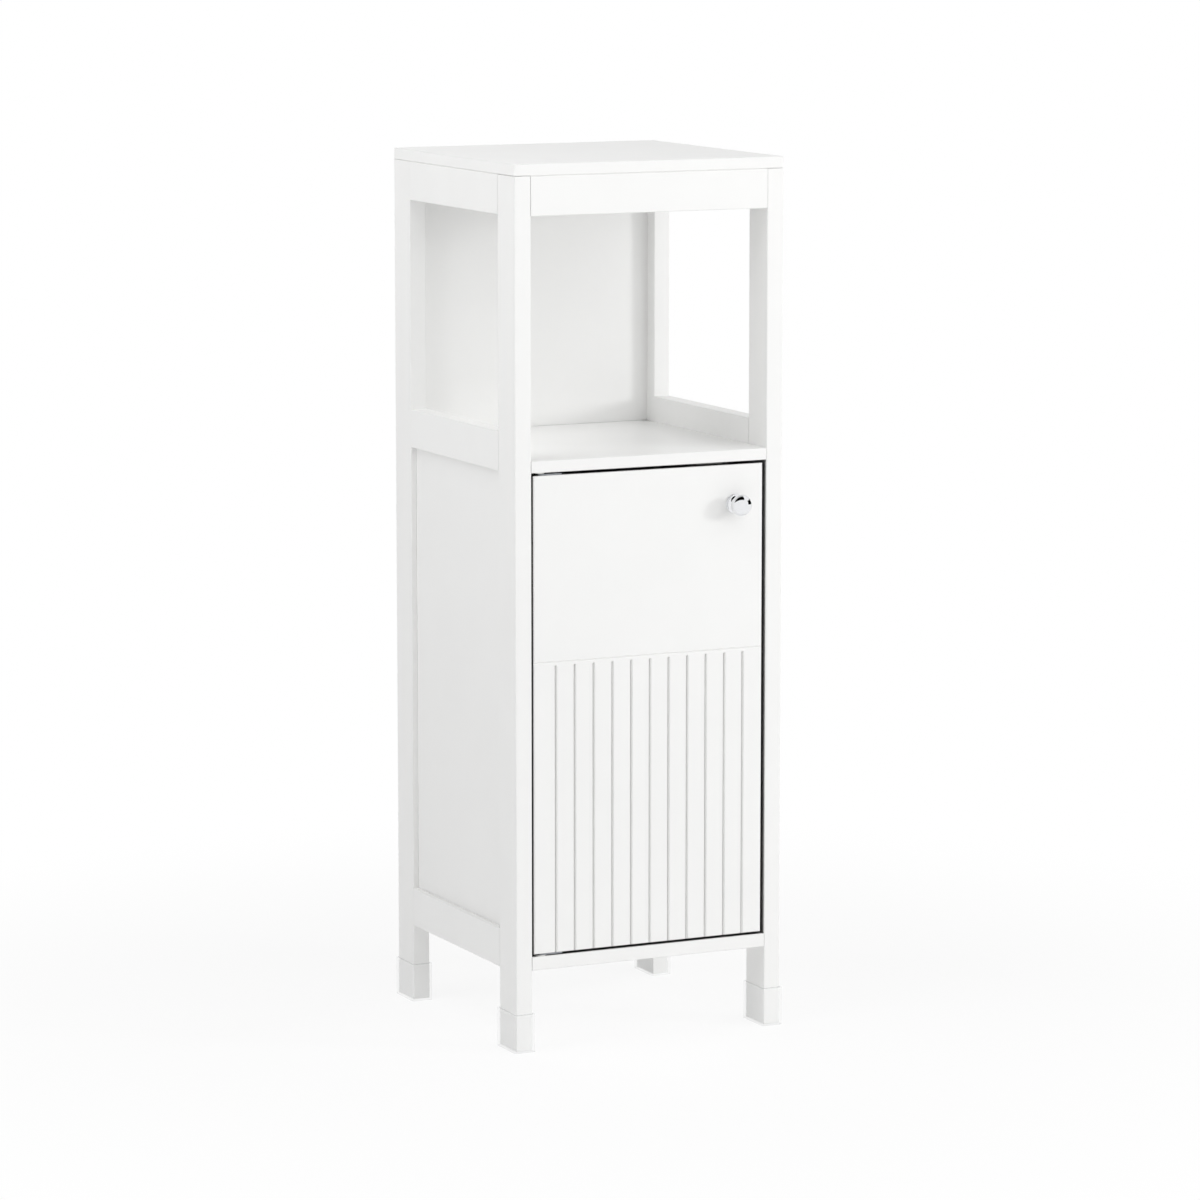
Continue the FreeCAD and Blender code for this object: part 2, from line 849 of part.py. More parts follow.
def catch_case():
    half = catch_case_length / 2
    ear_front = case_front + catch_ear_setback
    case = block(
        catch_x - half,
        catch_x + half,
        case_front,
        case_front + catch_case_depth,
        shelf_level - catch_case_height,
        shelf_level,
    )
    ears = block(
        catch_x - catch_length / 2,
        catch_x + catch_length / 2,
        ear_front,
        ear_front + catch_ear_width,
        shelf_level - catch_ear_thickness,
        shelf_level,
    )
    pocket = block(
        catch_x - magnet_half - groove_clearance,
        catch_x + magnet_half + groove_clearance,
        case_front,
        case_front + magnet_depth + groove_clearance,
        catch_z - stack_half - groove_clearance,
        catch_z + stack_half + groove_clearance,
    )
    tools = [pocket]
    for point in catch_screw_points():
        tools.append(prism(point, z_axis, screw_radius + fit_clearance, catch_ear_thickness))
    return cut_all(case.fuse(ears).removeSplitter(), tools)


def catch_magnet():
    half = magnet_thickness / 2
    return block(
        catch_x - magnet_half,
        catch_x + magnet_half,
        case_front,
        case_front + magnet_depth,
        catch_z - half,
        catch_z + half,
    )


def catch_poles():
    half = magnet_thickness / 2
    plates = []
    for z0 in (catch_z - half - pole_thickness, catch_z + half):
        plates.append(
            block(
                catch_x - magnet_half,
                catch_x + magnet_half,
                pole_front,
                case_front + magnet_depth,
                z0,
                z0 + pole_thickness,
            )
        )
    return Part.makeCompound(plates)


def catch_screws():
    screws = []
    for point in catch_screw_points():
        screws.append(
            pan_screw(point, z_axis, catch_screw_length, screw_radius, screw_head_radius, screw_head_height)
        )
    return Part.makeCompound(screws)


def strike_plate():
    half = strike_length / 2
    plate = block(
        catch_x - half,
        catch_x + half,
        door_back,
        strike_back,
        catch_z - strike_height / 2,
        catch_z + strike_height / 2,
    )
    plate = eased_along(plate, y_axis, strike_corner)
    point = FreeCAD.Vector(catch_x, strike_back, catch_z)
    return plate.cut(countersunk_hole(point, y_axis * -1, strike_thickness))


def strike_screw():
    point = FreeCAD.Vector(catch_x, strike_back, catch_z)
    return countersunk_screw(point, y_axis * -1, strike_screw_length, strike_thickness)


# Clear caps pushed over the feet

def foot_cap(y0):
    y1 = y0 + post_depth
    outer = block(
        left - cap_overhang,
        inner_left + cap_overhang,
        y0 - cap_overhang,
        y1 + cap_overhang,
        0,
        cap_height,
    )
    outer = rounded_along(outer, z_axis, cap_corner_radius)
    outer = outer.makeChamfer(cap_bottom_easing, level_edges(outer, 0))
    pocket = block(
        left - cap_clearance,
        inner_left + cap_clearance,
        y0 - cap_clearance,
        y1 + cap_clearance,
        cap_floor,
        cap_height,
    )
    return outer.cut(pocket)


pieces = {
    "top_panel": top_panel(),
    "post_front_left": front_post(),
    "post_rear_left": rear_post(),
    "top_rail_left": top_rail(),
    "mid_rail_left": mid_rail(),
    "lower_rail_left": lower_rail(),
    "side_panel_left": side_panel(),
    "foot_cap_front_left": foot_cap(front),
    "foot_cap_rear_left": foot_cap(rear_post_front),
    "top_rail_front": top_rail_front(),
    "open_shelf": open_shelf(),
    "bottom_panel": bottom_panel(),
    "back_panel": back_panel(),
    "inner_shelf": inner_shelf(),
    "shelf_pins": shelf_pins(),
    "cam_bolts": cam_bolts(),
    "cam_nuts_boards": cam_nuts_boards(),
    "cam_nuts_rails": cam_nuts_rails(),
    "dowels": dowels(),
    "hinge_bush_top": hinge_bush(shelf_level, z_axis),
    "hinge_bush_bottom": hinge_bush(bottom_top, z_axis * -1),
    "catch_case": catch_case(),
    "catch_magnet": catch_magnet(),
    "catch_poles": catch_poles(),
    "catch_screws": catch_screws(),
    "door_panel": door_panel(),
    "hinge_leaf_top": hinge_leaf(door_top, leaf_top_outer, z_axis),
    "hinge_leaf_bottom": hinge_leaf(leaf_bottom_outer, leaf_bottom_outer, z_axis * -1),
    "hinge_pin_top": hinge_pin(door_top, shelf_level, z_axis),
    "hinge_pin_bottom": hinge_pin(door_bottom, bottom_top, z_axis * -1),
    "hinge_screws": hinge_screws(),
    "knob": knob(),
    "knob_screw": knob_screw(),
    "strike_plate": strike_plate(),
    "strike_screw": strike_screw(),
}

for name in list(pieces):
    if name.endswith("_left"):
        pieces[name[: -len("left")] + "right"] = mirrored(pieces[name])

os.makedirs("parts", exist_ok=True)
for name, shape in pieces.items():
    for solid in shape.Solids:
        if not solid.isValid():
            raise ValueError(name + " is not a valid solid")
    shape.exportStep("parts/" + name + ".step")
    print(name, len(shape.Solids), round(shape.Volume, 1))
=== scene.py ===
import json
import math

import bmesh
import bpy
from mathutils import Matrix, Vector


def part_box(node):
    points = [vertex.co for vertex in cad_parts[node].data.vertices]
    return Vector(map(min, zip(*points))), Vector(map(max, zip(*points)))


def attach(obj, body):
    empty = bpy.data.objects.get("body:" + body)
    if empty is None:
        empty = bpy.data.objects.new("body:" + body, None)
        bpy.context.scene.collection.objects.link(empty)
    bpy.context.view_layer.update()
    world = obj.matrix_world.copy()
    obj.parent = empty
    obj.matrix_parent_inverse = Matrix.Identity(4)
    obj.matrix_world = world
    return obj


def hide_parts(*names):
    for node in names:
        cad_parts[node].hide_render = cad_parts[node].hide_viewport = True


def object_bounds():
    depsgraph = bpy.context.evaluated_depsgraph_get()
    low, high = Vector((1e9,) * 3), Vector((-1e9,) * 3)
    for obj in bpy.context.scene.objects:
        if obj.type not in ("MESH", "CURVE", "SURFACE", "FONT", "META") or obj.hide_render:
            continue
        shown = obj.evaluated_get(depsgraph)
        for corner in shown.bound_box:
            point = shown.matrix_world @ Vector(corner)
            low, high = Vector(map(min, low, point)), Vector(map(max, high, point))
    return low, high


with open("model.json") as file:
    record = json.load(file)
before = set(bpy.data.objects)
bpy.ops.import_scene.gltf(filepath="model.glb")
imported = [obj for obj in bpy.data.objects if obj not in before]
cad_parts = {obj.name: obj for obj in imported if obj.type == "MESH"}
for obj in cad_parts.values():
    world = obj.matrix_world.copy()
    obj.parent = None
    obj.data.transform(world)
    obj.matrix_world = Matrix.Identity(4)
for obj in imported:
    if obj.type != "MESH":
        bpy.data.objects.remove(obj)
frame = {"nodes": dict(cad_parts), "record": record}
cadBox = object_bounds()
nodes = frame["nodes"]
print("cabinet loaded:", len(nodes), "pieces,", [round(v, 4) for v in cadBox[1] - cadBox[0]], "m")


# sRGB hex, as picked on screen, to the linear colour that the shader wants
def hexToLinear(code):
    values = [int(code[i:i + 2], 16) / 255 for i in (1, 3, 5)]
    return [v / 12.92 if v <= 0.04045 else ((v + 0.055) / 1.055) ** 2.4 for v in values] + [1.0]


# one node, its settings and what is plugged into it
def addNode(tree, kind, settings=None, **plugs):
    node = tree.nodes.new("ShaderNode" + kind)
    for name, value in (settings or {}).items():
        setattr(node, name, value)
    for name, value in plugs.items():
        byNumber = name[0] == "i" and name[1:].isdigit()
        socket = node.inputs[int(name[1:]) if byNumber else name.replace("_", " ")]
        if isinstance(value, bpy.types.NodeSocket):
            tree.links.new(value, socket)
        else:
            socket.default_value = value
    return node


def newMaterial(name):
    material = bpy.data.materials.new(name)
    material.use_nodes = True
    tree = material.node_tree
    tree.nodes.clear()
    return material, tree


# millimetres to the metres of the frame
def mm(size):
    return size / 1000


# pattern scale of a noise whose blotches are this many millimetres across
def perMm(size):
    return 1 / mm(size)


def finishMaterial(tree, shader):
    addNode(tree, "OutputMaterial", Surface=shader.outputs[0])


# painted gap shade: which boards and hinge leaves round the door get it, and how far and how dark it goes
gapShade = {
    "reachMm": 30, "shut": 0.14, "open": 0.46, "ownHollow": 0.16, "shade": "#080808", "samples": 8,
    "boards": ("door_panel", "post_front_left", "post_front_right", "open_shelf", "bottom_panel"),
    "leaves": ("hinge_leaf_top", "hinge_leaf_bottom"),
}
leafGapShade = dict(gapShade, shut=0.45, open=0.9)  # the painted gap shade reaches further on the leaves, which lie deeper in, next to the post


# painted shade for the narrow gaps round the door, where little light gets in: a colour is darkened
# where other pieces shut it in, and a little less where a piece shuts itself in, as in the grooves
def paintGapShade(tree, look, colour):
    feeler = {"samples": look["samples"]}
    reach = mm(look["reachMm"])
    around = addNode(tree, "AmbientOcclusion", feeler, Distance=reach)
    alone = addNode(tree, "AmbientOcclusion", dict(feeler, only_local=True), Distance=reach)
    hollow = addNode(tree, "Math", {"operation": "SUBTRACT"}, i0=1.0, i1=alone.outputs["AO"])
    free = addNode(
        tree, "Math", {"operation": "MULTIPLY_ADD"}, i0=hollow.outputs[0], i1=look["ownHollow"],
        i2=around.outputs["AO"],
    )
    lit = addNode(
        tree, "MapRange", {"interpolation_type": "SMOOTHSTEP"}, Value=free.outputs[0],
        From_Min=look["shut"], From_Max=look["open"],
    )
    mixed = addNode(
        tree, "Mix", {"data_type": "RGBA"}, i0=lit.outputs["Result"],
        i6=hexToLinear(look["shade"]), i7=colour,
    )
    return mixed.outputs[2]


lacquer = {
    "colour": "#F4F4F3", "shade": "#F2F2F1", "toneSpan": (0.3, 0.7), "blotchMm": 90, "blotchDetail": 3.0,
    "blotchRough": 0.55, "peelMm": 2.2, "peelDetail": 2.0, "peelRough": 0.5, "peelHeight": 0.00002,
    "peelStrength": 0.25, "roughLow": 0.34, "roughHigh": 0.42, "easeMm": 0.8, "easeSamples": 6, "ior": 1.5,
}


# Sprayed satin lacquer on sanded fibreboard: almost even white, a soft broad sheen, edges eased by the
# sanding, the faint orange peel of the spray gun and slow drifts of tone from coat to coat
def satinLacquer(name, look, withGapShade=False):
    material, tree = newMaterial(name)
    place = addNode(tree, "TexCoord").outputs["Object"]
    drift = addNode(
        tree, "TexNoise", Vector=place, Scale=perMm(look["blotchMm"]), Detail=look["blotchDetail"],
        Roughness=look["blotchRough"],
    ).outputs["Fac"]
    peel = addNode(
        tree, "TexNoise", Vector=place, Scale=perMm(look["peelMm"]), Detail=look["peelDetail"],
        Roughness=look["peelRough"],
    ).outputs["Fac"]
    tone = addNode(tree, "ValToRGB", Fac=drift)
    tone.color_ramp.elements[0].position = look["toneSpan"][0]
    tone.color_ramp.elements[1].position = look["toneSpan"][1]
    tone.color_ramp.elements[0].color = hexToLinear(look["shade"])
    tone.color_ramp.elements[1].color = hexToLinear(look["colour"])
    colour = tone.outputs["Color"]
    # the boards round the door get painted shade in their gaps
    if withGapShade:
        colour = paintGapShade(tree, gapShade, colour)
    gloss = addNode(tree, "MapRange", Value=peel, To_Min=look["roughLow"], To_Max=look["roughHigh"])
    eased = addNode(tree, "Bevel", {"samples": look["easeSamples"]}, Radius=mm(look["easeMm"]))
    bump = addNode(
        tree, "Bump", Height=peel, Strength=look["peelStrength"], Distance=look["peelHeight"],
        Normal=eased.outputs["Normal"],
    )
    shader = addNode(
        tree, "BsdfPrincipled", Base_Color=colour, Roughness=gloss.outputs["Result"],
        Normal=bump.outputs["Normal"], IOR=look["ior"],
    )
    finishMaterial(tree, shader)
    return material


chromeLook = {
    "colour": "#F1F2F3", "haze": "#E6E7EA", "smearMm": 7, "smearDetail": 4.0,
    "roughLow": 0.03, "roughHigh": 0.06,
}


# Chrome plate on a turned knob: a bright mirror with a slight haze where it is touched
def chromePlate():
    look = chromeLook
    material, tree = newMaterial("chromePlate")
    place = addNode(tree, "TexCoord").outputs["Object"]
    smear = addNode(
        tree, "TexNoise", Vector=place, Scale=perMm(look["smearMm"]), Detail=look["smearDetail"],
    ).outputs["Fac"]
    tone = addNode(tree, "ValToRGB", Fac=smear)
    tone.color_ramp.elements[0].color = hexToLinear(look["haze"])
    tone.color_ramp.elements[1].color = hexToLinear(look["colour"])
    gloss = addNode(tree, "MapRange", Value=smear, To_Min=look["roughLow"], To_Max=look["roughHigh"])
    shader = addNode(
        tree, "BsdfPrincipled", Base_Color=tone.outputs["Color"], Roughness=gloss.outputs["Result"],
        Metallic=1.0,
    )
    finishMaterial(tree, shader)
    return material


clearLook = {
    "colour": "#F3F5F5", "rim": "#E4E7E8", "body": 0.05, "edge": 0.22, "rimShare": 0.14, "soleShare": 0.24,
    "rimMm": 1.3, "soleMm": 2.2, "waveMm": 9, "waveDetail": 1.0, "waveHeight": 0.00004, "waveStrength": 0.3,
    "edgeBlend": 0.25, "rough": 0.12, "ior": 1.52,
}
# the faces towards the foot paint the rim shade much darker, as a grey line on the foot
pocketShadeLook = dict(clearLook, rim="#8F9395", rimShare=0.42)


# Clear moulded vinyl: the foot shows through, the wall only veils it a little, more where it is
# seen edge on, the sole goes milky, and a grey band painted at the top of the wall stands for the
# shade that the rim of the pocket lays on the foot
def clearVinyl(name, look):
    material, tree = newMaterial(name)
    place = addNode(tree, "TexCoord").outputs["Object"]
    level = addNode(tree, "SeparateXYZ", Vector=place).outputs["Z"]
    wave = addNode(
        tree, "TexNoise", Vector=place, Scale=perMm(look["waveMm"]), Detail=look["waveDetail"],
    ).outputs["Fac"]
    bump = addNode(
        tree, "Bump", Height=wave, Strength=look["waveStrength"], Distance=look["waveHeight"],
    )
    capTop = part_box("foot_cap_front_left")[1].z
    # a greyer band painted at the top of the wall, as shade at the rim
    rimFrom = capTop - mm(look["rimMm"])
    rim = addNode(
        tree, "MapRange", {"interpolation_type": "SMOOTHSTEP"}, Value=level,
        From_Min=rimFrom, From_Max=(rimFrom + capTop) / 2,
    ).outputs["Result"]
    sole = addNode(
        tree, "MapRange", {"interpolation_type": "SMOOTHSTEP"}, Value=level,
        From_Min=mm(look["soleMm"]), From_Max=0.0, To_Max=look["soleShare"],
    ).outputs["Result"]
    tone = addNode(
        tree, "Mix", {"data_type": "RGBA"}, i0=rim,
        i6=hexToLinear(look["colour"]), i7=hexToLinear(look["rim"]),
    )
    grazing = addNode(tree, "LayerWeight", Blend=look["edgeBlend"]).outputs["Facing"]
    veil = addNode(
        tree, "MapRange", Value=grazing, To_Min=look["body"], To_Max=look["edge"],
    ).outputs["Result"]
    veil = addNode(tree, "Math", {"operation": "MAXIMUM"}, i0=veil, i1=sole).outputs[0]
    veil = addNode(tree, "Mix", {"data_type": "FLOAT"}, i0=rim, i2=veil, i3=look["rimShare"]).outputs[0]
    shader = addNode(
        tree, "BsdfPrincipled", Base_Color=tone.outputs[2], Roughness=look["rough"], IOR=look["ior"],
        Alpha=veil, Normal=bump.outputs["Normal"],
    )
    finishMaterial(tree, shader)
    return material


zincLook = {"colour": "#B9BCC0", "shade": "#8F9398", "spangleMm": 3.5, "roughLow": 0.26, "roughHigh": 0.42}


# Zinc-plated steel: bluish bright grey, mottled by the plating bath
def zincPlate(name, look, withGapShade=False):
    material, tree = newMaterial(name)
    place = addNode(tree, "TexCoord").outputs["Object"]
    spangle = addNode(
        tree, "TexVoronoi", Vector=place, Scale=perMm(look["spangleMm"]),
    ).outputs["Distance"]
    tone = addNode(tree, "ValToRGB", Fac=spangle)
    tone.color_ramp.elements[0].color = hexToLinear(look["colour"])
    tone.color_ramp.elements[1].color = hexToLinear(look["shade"])
    colour = tone.outputs["Color"]
    # the hinge leaves get painted shade where they lie in the gap
    if withGapShade:
        colour = paintGapShade(tree, leafGapShade, colour)
    gloss = addNode(tree, "MapRange", Value=spangle, To_Min=look["roughLow"], To_Max=look["roughHigh"])
    shader = addNode(
        tree, "BsdfPrincipled", Base_Color=colour, Roughness=gloss.outputs["Result"], Metallic=1.0,
    )
    finishMaterial(tree, shader)
    return material


plasticLook = {
    "colour": "#EDEDEA", "shade": "#E4E4E0", "grainMm": 0.9, "grainDetail": 3.0, "grainHeight": 0.00003,
    "grainStrength": 0.4, "rough": 0.5, "ior": 1.53,
}


# White ABS with the spark-eroded grain of its mould, drawn coarser than it is so that it shows
def whiteAbs():
    look = plasticLook
    material, tree = newMaterial("whiteAbs")
    place = addNode(tree, "TexCoord").outputs["Object"]
    grain = addNode(
        tree, "TexNoise", Vector=place, Scale=perMm(look["grainMm"]), Detail=look["grainDetail"],
    ).outputs["Fac"]
    tone = addNode(tree, "ValToRGB", Fac=grain)
    tone.color_ramp.elements[0].color = hexToLinear(look["shade"])
    tone.color_ramp.elements[1].color = hexToLinear(look["colour"])
    bump = addNode(
        tree, "Bump", Height=grain, Strength=look["grainStrength"], Distance=look["grainHeight"],
    )
    shader = addNode(
        tree, "BsdfPrincipled", Base_Color=tone.outputs["Color"], Roughness=look["rough"], IOR=look["ior"],
        Normal=bump.outputs["Normal"],
    )
    finishMaterial(tree, shader)
    return material


ferriteLook = {
    "colour": "#2A2A2C", "shade": "#19191B", "gritMm": 0.5, "gritDetail": 4.0, "gritHeight": 0.00006,
    "gritStrength": 0.6, "rough": 0.72,
}


# Sintered ferrite: dark, dull and gritty, the grit drawn coarser than it is so that it shows
def sinteredFerrite():
    look = ferriteLook
    material, tree = newMaterial("sinteredFerrite")
    place = addNode(tree, "TexCoord").outputs["Object"]
    grit = addNode(
        tree, "TexNoise", Vector=place, Scale=perMm(look["gritMm"]), Detail=look["gritDetail"],
    ).outputs["Fac"]
    tone = addNode(tree, "ValToRGB", Fac=grit)
    tone.color_ramp.elements[0].color = hexToLinear(look["shade"])
    tone.color_ramp.elements[1].color = hexToLinear(look["colour"])
    bump = addNode(
        tree, "Bump", Height=grit, Strength=look["gritStrength"], Distance=look["gritHeight"],
    )
    shader = addNode(
        tree, "BsdfPrincipled", Base_Color=tone.outputs["Color"], Roughness=look["rough"],
        Normal=bump.outputs["Normal"],
    )
    finishMaterial(tree, shader)
    return material


beechLook = {
    "colour": "#D8B88C", "shade": "#B98F5E", "fleckMm": 2.4, "fleckStretch": 0.08, "fleckDetail": 5.0,
    "rough": 0.62,
}


# Plain beech: pale tan with fine lengthwise flecks, the dowels lie along X
def plainBeech():
    look = beechLook
    material, tree = newMaterial("plainBeech")
    place = addNode(tree, "TexCoord").outputs["Object"]
    stretched = addNode(tree, "Mapping", Vector=place, Scale=(look["fleckStretch"], 1.0, 1.0))
    fleck = addNode(
        tree, "TexNoise", Vector=stretched.outputs["Vector"], Scale=perMm(look["fleckMm"]),
        Detail=look["fleckDetail"],
    ).outputs["Fac"]
    tone = addNode(tree, "ValToRGB", Fac=fleck)
    tone.color_ramp.elements[0].color = hexToLinear(look["shade"])
    tone.color_ramp.elements[1].color = hexToLinear(look["colour"])
    shader = addNode(tree, "BsdfPrincipled", Base_Color=tone.outputs["Color"], Roughness=look["rough"])
    finishMaterial(tree, shader)
    return material


thinLook = dict(lacquer, blotchMm=140, roughLow=0.38, roughHigh=0.46)  # rolled on, not sprayed
finishes = {
    "white_lacquer": satinLacquer("satinLacquer", lacquer),
    "white_panel": satinLacquer("satinLacquerThin", thinLook),
    "clear_plastic": clearVinyl("clearVinyl", clearLook),
    "chrome": chromePlate(),
    "zinc_steel": zincPlate("zincPlate", zincLook),
    "white_plastic": whiteAbs(),
    "ferrite": sinteredFerrite(),
    "beech": plainBeech(),
}
# the boards and hinge leaves round the door take copies of the finishes with painted gap shade
gapShadeFinishes = dict.fromkeys(gapShade["boards"], satinLacquer("satinLacquerGapShade", lacquer, withGapShade=True))
gapShadeFinishes.update(dict.fromkeys(gapShade["leaves"], zincPlate("zincPlateGapShade", zincLook, withGapShade=True)))
slotOf = {row["node"]: row["material_slot"] for row in frame["record"]["subparts"]}
for name, piece in nodes.items():
    piece.data.materials.clear()
    piece.data.materials.append(gapShadeFinishes.get(name, finishes[slotOf[name]]))
print("finishes on", len(slotOf), "pieces")


# a new piece takes a body, a finish and the place of the nodes that it stands for
def settle(piece, body, slot, *stoodFor):
    piece.data.materials.clear()
    piece.data.materials.append(finishes[slot])
    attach(piece, body)
    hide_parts(*stoodFor)


# in edit mode, select the edges or faces that pass the test
def pick(piece, kind, test):
    bpy.ops.mesh.select_mode(type=kind)
    bpy.ops.mesh.select_all(action="DESELECT")
    shape = bmesh.from_edit_mesh(piece.data)
    for item in {"EDGE": shape.edges, "FACE": shape.faces}[kind]:
        item.select_set(test(item))
    bmesh.update_edit_mesh(piece.data)


cap = {
    "wall": 0.0023, "floor": 0.002, "corner": 0.0022, "cornerSteps": 5, "round": 0.0006, "roundSteps": 3,
    "roundFrom": 40, "smoothTo": 50, "facesUp": 0.9,
    "feet": ("foot_cap_front_left", "foot_cap_front_right", "foot_cap_rear_left", "foot_cap_rear_right"),
}


# a clear cup round the foot of a post: a block, hollowed from above, its upright corners rounded
def mouldCap(look, name):
    low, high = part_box(name)
    bpy.ops.object.select_all(action="DESELECT")
    bpy.ops.mesh.primitive_cube_add(size=1, location=(low + high) / 2)
    piece = bpy.context.object
    piece.name = "clear_" + name
    piece.scale = high - low
    bpy.ops.object.transform_apply(location=True, rotation=False, scale=True)
    bpy.ops.object.mode_set(mode="EDIT")
    pick(piece, "FACE", lambda face: face.normal.z > look["facesUp"])
    bpy.ops.mesh.inset(thickness=look["wall"])
    down = look["floor"] - (high.z - low.z)
    bpy.ops.mesh.extrude_region_move(TRANSFORM_OT_translate={"value": (0, 0, down)})
    outside = (high.x - low.x) / 2 - look["wall"] / 2
    middleX = (low.x + high.x) / 2

    def uprightCorner(edge):
        start, end = edge.verts[0].co, edge.verts[1].co
        return abs(start.z - end.z) > look["floor"] * 2 and abs(start.x - middleX) > outside

    pick(piece, "EDGE", uprightCorner)
    bpy.ops.mesh.bevel(offset=look["corner"], segments=look["cornerSteps"], affect="EDGES")
    bpy.ops.object.mode_set(mode="OBJECT")
    soften = piece.modifiers.new("soften", "BEVEL")
    soften.width = look["round"]
    soften.segments = look["roundSteps"]
    soften.angle_limit = math.radians(look["roundFrom"])
    bpy.ops.object.modifier_apply(modifier="soften")
    bpy.ops.object.shade_smooth_by_angle(angle=math.radians(look["smoothTo"]))
    return piece


# the upright faces that look at the foot take the second finish, with the darker painted rim shade
def linePocket(piece):
    middle = sum((Vector(corner) for corner in piece.bound_box), Vector()) / 8
    piece.data.materials.append(pocketShadeVinyl)
    bpy.context.view_layer.objects.active = piece
    bpy.ops.object.mode_set(mode="EDIT")
    pick(piece, "FACE", lambda face: face.normal.xy.dot((middle - face.calc_center_median()).xy) > 0)
    piece.active_material_index = 1
    bpy.ops.object.material_slot_assign()
    bpy.ops.object.mode_set(mode="OBJECT")


pocketShadeVinyl = clearVinyl("clearVinylPocketShade", pocketShadeLook)
firstCap = mouldCap(cap, cap["feet"][0])
for name in cap["feet"]:
    piece = firstCap
    if name != cap["feet"][0]:
        bpy.ops.object.select_all(action="DESELECT")
        firstCap.select_set(True)
        bpy.context.view_layer.objects.active = firstCap
        bpy.ops.object.duplicate(linked=False)
        piece = bpy.context.object
        piece.name = "clear_" + name
        bpy.ops.transform.translate(value=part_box(name)[0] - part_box(cap["feet"][0])[0])
        bpy.ops.object.transform_apply(location=True, rotation=False, scale=False)
    piece.visible_shadow = False  # clear walls leave the foot inside in full light
    piece.visible_diffuse = False
    settle(piece, "cabinet", "clear_plastic", name)
    linePocket(piece)
print("foot caps moulded:", len(cap["feet"]))


knob = {
    "sides": 96, "steps": 8, "baseRadius": 0.0098, "baseEdge": 0.0014, "edgeRound": 0.0005,
    "neckRadius": 0.0052, "rimRadius": 0.007, "rimFlat": 0.0008, "rimBack": 0.0010, "domeRadius": 0.020,
    "weld": 0.000005, "smoothTo": 40,
}


# points of an arc as (radius, distance from the door), angles from the radius towards the front
def knobArc(centre, size, fromAngle, toAngle, steps):
    points = []
    for i in range(steps + 1):
        angle = math.radians(fromAngle + (toAngle - fromAngle) * i / steps)
        points.append((centre[0] + size * math.cos(angle), centre[1] + size * math.sin(angle)))
    return points


# turned mushroom knob: a ring on the door drawn out and resized, ring by ring, up to the tip of the dome
def turnKnob(look):
    low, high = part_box("knob")
    head = (high.x - low.x) / 2
    reach = high.y - low.y
    rimIn = head - look["rimRadius"]
    domeFrom = reach - look["domeRadius"]
    rimOut = domeFrom + math.sqrt((look["domeRadius"] - look["rimRadius"]) ** 2 - rimIn ** 2)
    turn = math.degrees(math.atan2(rimOut - domeFrom, rimIn))
    flare = head - look["rimBack"] - look["neckRadius"]
    flareFrom = rimOut - look["rimFlat"] - look["rimBack"] - flare
    baseIn = look["baseRadius"] - look["edgeRound"]
    hollow = baseIn - look["neckRadius"]
    steps = look["steps"]
    outline = [(look["baseRadius"], 0.0)]
    outline += knobArc((baseIn, look["baseEdge"] - look["edgeRound"]), look["edgeRound"], 0, 90, steps // 2)
    outline += knobArc((baseIn, look["baseEdge"] + hollow), hollow, -90, -180, steps)
    outline += knobArc((look["neckRadius"] + flare, flareFrom), flare, 180, 90, steps)
    rimBack = (head - look["rimBack"], rimOut - look["rimFlat"])
    outline += knobArc(rimBack, look["rimBack"], -90, 0, steps // 2)
    outline += knobArc((rimIn, rimOut), look["rimRadius"], 0, turn, steps)
    outline += knobArc((0, domeFrom), look["domeRadius"], turn, 90, steps)[1:-1]
    centre = Vector(((low.x + high.x) / 2, high.y, (low.z + high.z) / 2))
    bpy.ops.object.select_all(action="DESELECT")
    bpy.ops.mesh.primitive_circle_add(
        vertices=look["sides"], radius=outline[0][0], fill_type="NGON", location=centre,
        rotation=(math.radians(90), 0, 0),
    )
    piece = bpy.context.object
    piece.name = "turned_knob"
    bpy.ops.object.transform_apply(location=True, rotation=True, scale=False)
    bpy.ops.object.mode_set(mode="EDIT")
    bpy.ops.mesh.select_all(action="SELECT")
    for (radius, out), (nextRadius, nextOut) in zip(outline, outline[1:]):
        bpy.ops.mesh.extrude_region_move(TRANSFORM_OT_translate={"value": (0, out - nextOut, 0)})
        share = nextRadius / radius
        bpy.ops.transform.resize(value=(share, 1, share), center_override=centre)
    bpy.ops.mesh.extrude_region_move(TRANSFORM_OT_translate={"value": (0, outline[-1][1] - reach, 0)})
    bpy.ops.mesh.merge(type="CENTER")
    bpy.ops.mesh.select_all(action="SELECT")
    bpy.ops.mesh.remove_doubles(threshold=look["weld"])
    bpy.ops.mesh.normals_make_consistent(inside=False)
    bpy.ops.object.mode_set(mode="OBJECT")
    bpy.ops.object.shade_smooth_by_angle(angle=math.radians(look["smoothTo"]))
    return piece


settle(turnKnob(knob), "door", "chrome", "knob")
print("knob turned")


